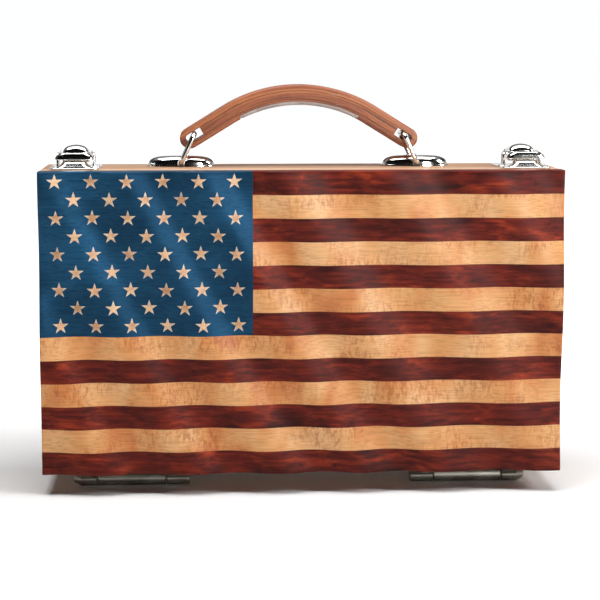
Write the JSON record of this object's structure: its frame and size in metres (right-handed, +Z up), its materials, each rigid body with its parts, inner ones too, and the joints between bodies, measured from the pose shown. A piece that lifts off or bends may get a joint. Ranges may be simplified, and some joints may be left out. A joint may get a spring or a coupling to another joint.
{
  "type": "wooden hand case",
  "caption": "Rectangular wooden hand case standing on its long edge, with a carved striped front, hinged lid, draw latches and an arched carrying handle.",
  "frame": {"origin": "on the floor, under the middle of the case", "axes": "+X to the right of the carved front, +Y to the back, +Z up"},
  "size_m": [0.425, 0.1, 0.3336],
  "materials": {
    "red_wood": "oiled dark red hardwood, satin",
    "pale_wood": "curly pale hardwood, satin lacquer",
    "blue_wood": "blue-stained hardwood, satin lacquer",
    "frame_wood": "pinkish brown hardwood, satin lacquer",
    "handle_wood": "bent laminated orange-brown wood, satin",
    "pad_leather": "thin pale leather",
    "felt": "dark felt",
    "bright_nickel": "polished nickel plate",
    "satin_nickel": "satin nickel plate",
    "rubber": "dark moulded rubber"
  },
  "bodies": {
    "lid": {"front_stripe_01": "red_wood", "front_stripe_02": "pale_wood", "front_stripe_03": "red_wood", "front_stripe_04": "pale_wood", "front_stripe_05": "red_wood", "front_stripe_06": "pale_wood", "front_stripe_07": "red_wood", "front_stripe_08": "pale_wood", "front_stripe_09": "red_wood", "front_stripe_10": "pale_wood", "front_stripe_11": "red_wood", "front_stripe_12": "pale_wood", "front_stripe_13": "red_wood", "front_canton": "blue_wood", "lid_top_rail": "frame_wood", "lid_bottom_rail": "frame_wood", "lid_left_rail": "frame_wood", "lid_right_rail": "frame_wood", "lid_lining": "felt", "hinge_lid_leaf_left": "satin_nickel", "latch_catch_left": "bright_nickel", "hinge_lid_leaf_right": "satin_nickel", "latch_catch_right": "bright_nickel"},
    "base": {"base_top_rail": "frame_wood", "base_bottom_rail": "frame_wood", "base_left_rail": "frame_wood", "base_right_rail": "frame_wood", "back_panel": "frame_wood", "base_lining": "felt", "hinge_base_leaf_left": "satin_nickel", "hinge_pin_left": "satin_nickel", "rear_bumper_left": "rubber", "latch_base_left": "bright_nickel", "latch_pivot_pin_left": "bright_nickel", "handle_plate_left": "bright_nickel", "hinge_base_leaf_right": "satin_nickel", "hinge_pin_right": "satin_nickel", "rear_bumper_right": "rubber", "latch_base_right": "bright_nickel", "latch_pivot_pin_right": "bright_nickel", "handle_plate_right": "bright_nickel"},
    "latch_lever_left": {"latch_lever_left": "bright_nickel", "latch_link_pin_left": "bright_nickel"},
    "latch_hook_left": {"latch_hook_left": "bright_nickel"},
    "handle_loop_left": {"handle_loop_left": "bright_nickel"},
    "latch_lever_right": {"latch_lever_right": "bright_nickel", "latch_link_pin_right": "bright_nickel"},
    "latch_hook_right": {"latch_hook_right": "bright_nickel"},
    "handle_loop_right": {"handle_loop_right": "bright_nickel"},
    "handle": {"handle_strap": "handle_wood", "handle_core": "handle_wood", "handle_pad": "pad_leather"}
  },
  "joints": [
    {"name": "lid_hinge", "type": "hinge", "parent": "base", "child": "lid", "pos_m": [0, -0.01, 0.006], "axis": [1, 0, 0], "range_deg": [0, 180]},
    {"name": "handle_lift", "type": "slide", "parent": "base", "child": "handle", "axis": [0, 0, 1], "range_m": [0, 0.0048]},
    {"name": "handle_loop_swing_left", "type": "hinge", "parent": "base", "child": "handle_loop_left", "pos_m": [-0.0985, 0.02, 0.26845], "axis": [0, 1, 0], "range_deg": [-14, 1]},
    {"name": "latch_lever_turn_left", "type": "hinge", "parent": "base", "child": "latch_lever_left", "pos_m": [-0.18475, -0.001, 0.27415], "axis": [1, 0, 0], "range_deg": [0, 100]},
    {"name": "latch_hook_turn_left", "type": "hinge", "parent": "latch_lever_left", "child": "latch_hook_left", "pos_m": [-0.18475, 0.004, 0.27775], "axis": [1, 0, 0], "range_deg": [-125, 1]},
    {"name": "handle_loop_swing_right", "type": "hinge", "parent": "base", "child": "handle_loop_right", "pos_m": [0.0985, 0.02, 0.26845], "axis": [0, 1, 0], "range_deg": [-1, 14]},
    {"name": "latch_lever_turn_right", "type": "hinge", "parent": "base", "child": "latch_lever_right", "pos_m": [0.18475, -0.001, 0.27415], "axis": [1, 0, 0], "range_deg": [0, 100]},
    {"name": "latch_hook_turn_right", "type": "hinge", "parent": "latch_lever_right", "child": "latch_hook_right", "pos_m": [0.18475, 0.004, 0.27775], "axis": [1, 0, 0], "range_deg": [-125, 1]}
  ],
  "couplings": [
    {"joint": "handle_loop_swing_left", "follows": "handle_lift", "rad_per_m": -40},
    {"joint": "latch_hook_turn_left", "follows": "latch_lever_turn_left", "ratio": -1.2},
    {"joint": "handle_loop_swing_right", "follows": "handle_lift", "rad_per_m": 40},
    {"joint": "latch_hook_turn_right", "follows": "latch_lever_turn_right", "ratio": -1.2}
  ]
}
